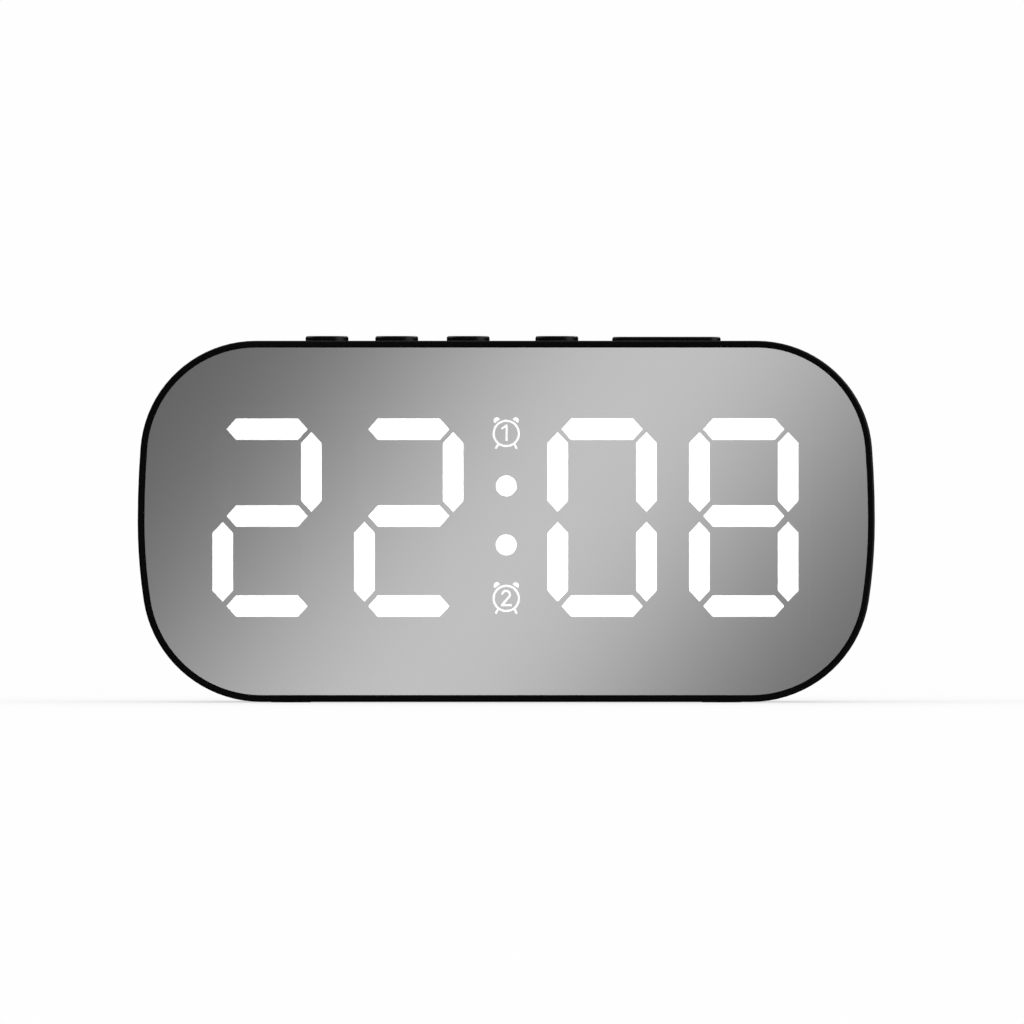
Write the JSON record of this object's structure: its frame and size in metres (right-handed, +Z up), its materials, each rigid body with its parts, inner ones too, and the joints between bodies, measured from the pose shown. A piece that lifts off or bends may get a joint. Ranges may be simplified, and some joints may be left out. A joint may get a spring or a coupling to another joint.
{
  "type": "alarm clock",
  "caption": "Table clock with a mirror front, white LED digits behind it, push keys on top, and a hinged battery door and power inlet at the back.",
  "frame": {"origin": "on the table, under the middle of the clock's box", "axes": "+X to the right of someone facing the clock, +Y away from them towards the back, +Z up"},
  "size_m": [0.13, 0.035, 0.0648],
  "materials": {
    "housing": "satin black moulding",
    "key": "satin black moulding",
    "mirror": "half-silvered acrylic, polished",
    "tape": "black foam tape",
    "film": "black print on film",
    "reflector": "white, diffuse",
    "window": "milky cast resin, lit from behind",
    "board": "green solder mask",
    "led": "phosphor over white package",
    "chip": "black moulded package",
    "tinned": "tinned leads",
    "can": "drawn can",
    "resistor": "glazed chip",
    "screw": "zinc plated",
    "switch_body": "black nylon",
    "plate": "stamped",
    "plunger": "black nylon",
    "ribbon": "white flat cable",
    "cell": "plain printed sleeve on a steel can",
    "contact": "nickel plated",
    "spring": "nickel plated wire",
    "lead": "insulated wire",
    "inlet": "stamped, nickel plated",
    "tongue": "black insulator",
    "buzzer": "black case",
    "foot": "thin black pad"
  },
  "bodies": {
    "clock_body": {"front_housing": "housing", "mirror_panel": "mirror", "mirror_tape": "tape", "segment_film": "film", "light_box": "reflector", "digit_1_segments": "window", "digit_2_segments": "window", "digit_3_segments": "window", "digit_4_segments": "window", "colon_windows": "window", "alarm_1_sign": "window", "alarm_2_sign": "window", "display_board": "board", "led_chips": "led", "controller_chip": "chip", "chip_leads": "tinned", "clock_crystal": "can", "filter_capacitors": "can", "driver_transistors": "chip", "resistors": "resistor", "display_screws": "screw", "key_board": "board", "key_board_screws": "screw", "switch_bodies": "switch_body", "switch_plates": "plate", "key_ribbon": "ribbon", "rear_cover": "housing", "cover_screws": "screw", "battery_cell_1": "cell", "battery_cell_2": "cell", "battery_cell_3": "cell", "battery_springs": "spring", "battery_contacts": "contact", "battery_leads": "lead", "inlet_shell": "inlet", "inlet_tongue": "tongue", "inlet_board": "board", "inlet_screws": "screw", "inlet_leads": "lead", "buzzer": "buzzer", "buzzer_leads": "lead", "feet": "foot"},
    "set_key": {"set_key": "key", "switch_1_plunger": "plunger"},
    "up_key": {"up_key": "key", "switch_2_plunger": "plunger"},
    "down_key": {"down_key": "key", "switch_3_plunger": "plunger"},
    "alarm_key": {"alarm_key": "key", "switch_4_plunger": "plunger"},
    "snooze_bar": {"snooze_bar": "key", "switch_5_plunger": "plunger"},
    "battery_door": {"battery_door": "housing"}
  },
  "joints": [
    {"name": "set_key_press", "type": "slide", "parent": "clock_body", "child": "set_key", "axis": [0, 0, -1], "range_m": [0, 0.0005], "stiffness_N_per_m": 1500, "springref_m": -0.0003},
    {"name": "up_key_press", "type": "slide", "parent": "clock_body", "child": "up_key", "axis": [0, 0, -1], "range_m": [0, 0.0005], "stiffness_N_per_m": 1500, "springref_m": -0.0003},
    {"name": "down_key_press", "type": "slide", "parent": "clock_body", "child": "down_key", "axis": [0, 0, -1], "range_m": [0, 0.0005], "stiffness_N_per_m": 1500, "springref_m": -0.0003},
    {"name": "alarm_key_press", "type": "slide", "parent": "clock_body", "child": "alarm_key", "axis": [0, 0, -1], "range_m": [0, 0.0005], "stiffness_N_per_m": 1500, "springref_m": -0.0003},
    {"name": "snooze_bar_press", "type": "slide", "parent": "clock_body", "child": "snooze_bar", "axis": [0, 0, -1], "range_m": [0, 0.0005], "stiffness_N_per_m": 1500, "springref_m": -0.0003},
    {"name": "battery_door_hinge", "type": "hinge", "parent": "clock_body", "child": "battery_door", "pos_m": [0, 0.0162, 0.01645], "axis": [-1, 0, 0], "range_deg": [0, 90]}
  ]
}
